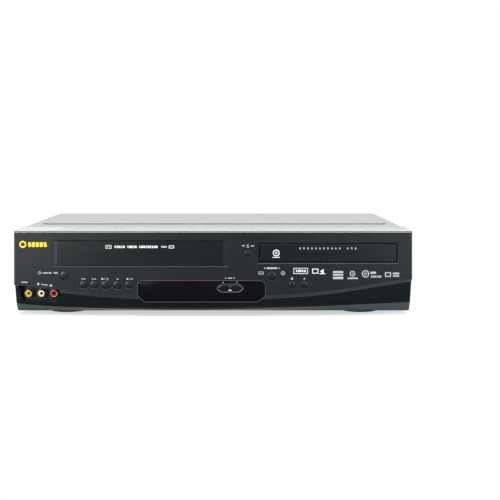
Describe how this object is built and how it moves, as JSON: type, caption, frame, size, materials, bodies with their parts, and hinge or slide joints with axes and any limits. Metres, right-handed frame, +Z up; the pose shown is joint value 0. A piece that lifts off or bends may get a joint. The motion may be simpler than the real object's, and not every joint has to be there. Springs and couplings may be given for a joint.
{
  "type": "video cassette and disc player",
  "caption": "Low wide black player with a cassette flap on the left, a disc drawer on the right, a dark display, round buttons and three phono jacks under a curved lower edge.",
  "frame": {"origin": "centre of the player's bottom, on the surface that it stands on", "axes": "+X to the player's right seen from the front, +Y to the rear, +Z up"},
  "size_m": [0.435, 0.237, 0.0955],
  "materials": {
    "front_plastic": "fine moulded texture",
    "door_plastic": "satin moulded",
    "button_plastic": "satin moulded",
    "smoked_lens": "polished smoked acrylic",
    "lens_plastic": "clear tinted",
    "jack_plating": "plated",
    "jack_colours": "coloured mouldings",
    "cover_paint": "semi-gloss paint",
    "zinc_steel": "zinc plated sheet",
    "rear_paint": "painted sheet",
    "foot_plastic": "moulded",
    "screw_steel": "black zinc",
    "board_laminate": "resin board with parts",
    "tube_glass": "clear",
    "spring_steel": "wire",
    "carriage_plastic": "natural acetal",
    "drum_aluminium": "machined",
    "shaft_metal": "turned",
    "bearing_brass": "turned",
    "belt_rubber": "moulded",
    "head_metal": "polished",
    "loader_plastic": "moulded",
    "motor_steel": "drawn can",
    "socket_plastic": "moulded",
    "cable_film": "flat cable"
  },
  "bodies": {
    "case": {"front_panel": "front_plastic", "top_cover": "cover_paint", "base_chassis": "zinc_steel", "rear_panel": "rear_paint", "feet": "foot_plastic", "case_screws": "screw_steel", "display_window": "smoked_lens", "display_tube": "tube_glass", "indicator_lenses": "lens_plastic", "front_board": "board_laminate", "jack_barrels": "jack_plating", "jack_inserts": "jack_colours", "door_spring": "spring_steel", "deck_chassis": "zinc_steel", "carriage_bracket": "zinc_steel", "lower_drum": "drum_aluminium", "deck_bearings": "bearing_brass", "drive_belts": "belt_rubber", "tape_heads": "head_metal", "loader_frame": "loader_plastic", "traverse_base": "loader_plastic", "guide_rods": "spring_steel", "loader_motors": "motor_steel", "clamp_bridge": "zinc_steel", "signal_boards": "board_laminate", "power_board": "board_laminate", "rear_sockets": "socket_plastic", "tuner": "zinc_steel", "ribbon_cable": "cable_film"},
    "cassette_door": {"cassette_door": "door_plastic"},
    "carriage": {"carriage_slides": "carriage_plastic"},
    "cassette_holder": {"cassette_holder": "zinc_steel"},
    "standby_button": {"standby_button": "button_plastic"},
    "rewind_button": {"rewind_button": "button_plastic"},
    "forward_button": {"forward_button": "button_plastic"},
    "vcr_stop_button": {"vcr_stop_button": "button_plastic"},
    "vcr_play_button": {"vcr_play_button": "button_plastic"},
    "record_button": {"record_button": "button_plastic"},
    "tray_button": {"tray_button": "button_plastic"},
    "output_button": {"output_button": "button_plastic"},
    "dvd_stop_button": {"dvd_stop_button": "button_plastic"},
    "dvd_play_button": {"dvd_play_button": "button_plastic"},
    "channel_down_key": {"channel_down_key": "button_plastic"},
    "channel_up_key": {"channel_up_key": "button_plastic"},
    "upper_drum": {"upper_drum": "drum_aluminium"},
    "capstan": {"capstan_rotor": "shaft_metal"},
    "clutch_pulley": {"clutch_pulley": "carriage_plastic"},
    "supply_reel": {"supply_reel": "carriage_plastic"},
    "take_up_reel": {"take_up_reel": "carriage_plastic"},
    "pinch_arm": {"pinch_arm": "shaft_metal"},
    "pinch_roller": {"pinch_roller": "belt_rubber"},
    "supply_guide": {"supply_guide": "carriage_plastic"},
    "take_up_guide": {"take_up_guide": "carriage_plastic"},
    "disc_tray": {"disc_tray": "loader_plastic", "tray_front": "door_plastic"},
    "loader_gear": {"loader_gear": "carriage_plastic"},
    "motor_pulley": {"motor_pulley": "carriage_plastic"},
    "optical_pickup": {"optical_pickup": "loader_plastic"},
    "turntable": {"turntable": "loader_plastic"},
    "disc_clamper": {"disc_clamper": "carriage_plastic"}
  },
  "joints": [
    {"name": "cassette_door_hinge", "type": "hinge", "parent": "case", "child": "cassette_door", "pos_m": [-0.07985, -0.1135, 0.0871], "axis": [1, 0, 0], "range_deg": [0, 88], "stiffness_Nm_per_rad": 0.002, "springref_deg": -22.92},
    {"name": "carriage_in", "type": "slide", "parent": "case", "child": "carriage", "axis": [0, 1, 0], "range_m": [0, 0.05]},
    {"name": "holder_drop", "type": "slide", "parent": "carriage", "child": "cassette_holder", "axis": [0, 0, -1], "range_m": [0, 0.02]},
    {"name": "standby_button_press", "type": "slide", "parent": "case", "child": "standby_button", "axis": [0, 1, 0], "range_m": [0, 0.0005], "stiffness_N_per_m": 400},
    {"name": "rewind_button_press", "type": "slide", "parent": "case", "child": "rewind_button", "axis": [0, 1, 0], "range_m": [0, 0.0005], "stiffness_N_per_m": 400},
    {"name": "forward_button_press", "type": "slide", "parent": "case", "child": "forward_button", "axis": [0, 1, 0], "range_m": [0, 0.0005], "stiffness_N_per_m": 400},
    {"name": "vcr_stop_button_press", "type": "slide", "parent": "case", "child": "vcr_stop_button", "axis": [0, 1, 0], "range_m": [0, 0.0005], "stiffness_N_per_m": 400},
    {"name": "vcr_play_button_press", "type": "slide", "parent": "case", "child": "vcr_play_button", "axis": [0, 1, 0], "range_m": [0, 0.0005], "stiffness_N_per_m": 400},
    {"name": "record_button_press", "type": "slide", "parent": "case", "child": "record_button", "axis": [0, 1, 0], "range_m": [0, 0.0005], "stiffness_N_per_m": 400},
    {"name": "tray_button_press", "type": "slide", "parent": "case", "child": "tray_button", "axis": [0, 1, 0], "range_m": [0, 0.0005], "stiffness_N_per_m": 400},
    {"name": "output_button_press", "type": "slide", "parent": "case", "child": "output_button", "axis": [0, 1, 0], "range_m": [0, 0.0005], "stiffness_N_per_m": 400},
    {"name": "dvd_stop_button_press", "type": "slide", "parent": "case", "child": "dvd_stop_button", "axis": [0, 1, 0], "range_m": [0, 0.0005], "stiffness_N_per_m": 400},
    {"name": "dvd_play_button_press", "type": "slide", "parent": "case", "child": "dvd_play_button", "axis": [0, 1, 0], "range_m": [0, 0.0005], "stiffness_N_per_m": 400},
    {"name": "channel_down_key_press", "type": "slide", "parent": "case", "child": "channel_down_key", "axis": [0, 1, 0], "range_m": [0, 0.0005], "stiffness_N_per_m": 400},
    {"name": "channel_up_key_press", "type": "slide", "parent": "case", "child": "channel_up_key", "axis": [0, 1, 0], "range_m": [0, 0.0005], "stiffness_N_per_m": 400},
    {"name": "drum_spin", "type": "hinge", "parent": "case", "child": "upper_drum", "pos_m": [-0.07985, 0.058, 0.05], "axis": [0, 0, 1], "continuous": true},
    {"name": "capstan_spin", "type": "hinge", "parent": "case", "child": "capstan", "pos_m": [-0.01785, 0.036, 0.03], "axis": [0, 0, 1], "continuous": true},
    {"name": "clutch_spin", "type": "hinge", "parent": "case", "child": "clutch_pulley", "pos_m": [-0.07985, -0.014, 0.03], "axis": [0, 0, 1], "continuous": true},
    {"name": "supply_reel_spin", "type": "hinge", "parent": "case", "child": "supply_reel", "pos_m": [-0.12585, -0.02, 0.03], "axis": [0, 0, 1], "continuous": true},
    {"name": "take_up_reel_spin", "type": "hinge", "parent": "case", "child": "take_up_reel", "pos_m": [-0.03385, -0.02, 0.03], "axis": [0, 0, 1], "continuous": true},
    {"name": "pinch_arm_swing", "type": "hinge", "parent": "case", "child": "pinch_arm", "pos_m": [0.00615, 0.052, 0.03], "axis": [0, 0, 1], "range_deg": [0, 25]},
    {"name": "pinch_roller_spin", "type": "hinge", "parent": "pinch_arm", "child": "pinch_roller", "pos_m": [-0.01606, 0.05206, 0.04], "axis": [0, 0, 1], "continuous": true},
    {"name": "supply_guide_load", "type": "slide", "parent": "case", "child": "supply_guide", "axis": [0, 1, 0], "range_m": [0, 0.04]},
    {"name": "take_up_guide_load", "type": "slide", "parent": "case", "child": "take_up_guide", "axis": [0, 1, 0], "range_m": [0, 0.04]},
    {"name": "disc_tray_out", "type": "slide", "parent": "case", "child": "disc_tray", "axis": [0, -1, 0], "range_m": [0, 0.135]},
    {"name": "loader_gear_turn", "type": "hinge", "parent": "case", "child": "loader_gear", "pos_m": [0.092, -0.084, 0.055], "axis": [0, 0, 1], "range_deg": [0, 646]},
    {"name": "motor_pulley_turn", "type": "hinge", "parent": "case", "child": "motor_pulley", "pos_m": [0.132, -0.084, 0.051], "axis": [0, 0, 1], "range_deg": [0, 1935]},
    {"name": "pickup_travel", "type": "slide", "parent": "case", "child": "optical_pickup", "axis": [0, 1, 0], "range_m": [0, 0.034]},
    {"name": "turntable_spin", "type": "hinge", "parent": "case", "child": "turntable", "pos_m": [0.1257, -0.03, 0.06], "axis": [0, 0, 1], "continuous": true},
    {"name": "clamper_spin", "type": "hinge", "parent": "case", "child": "disc_clamper", "pos_m": [0.1257, -0.03, 0.084], "axis": [0, 0, 1], "continuous": true}
  ],
  "couplings": [
    {"joint": "clutch_spin", "follows": "capstan_spin", "ratio": 0.5},
    {"joint": "take_up_guide_load", "follows": "supply_guide_load", "ratio": 1},
    {"joint": "loader_gear_turn", "follows": "disc_tray_out", "rad_per_m": 83.333},
    {"joint": "motor_pulley_turn", "follows": "disc_tray_out", "rad_per_m": 250}
  ]
}
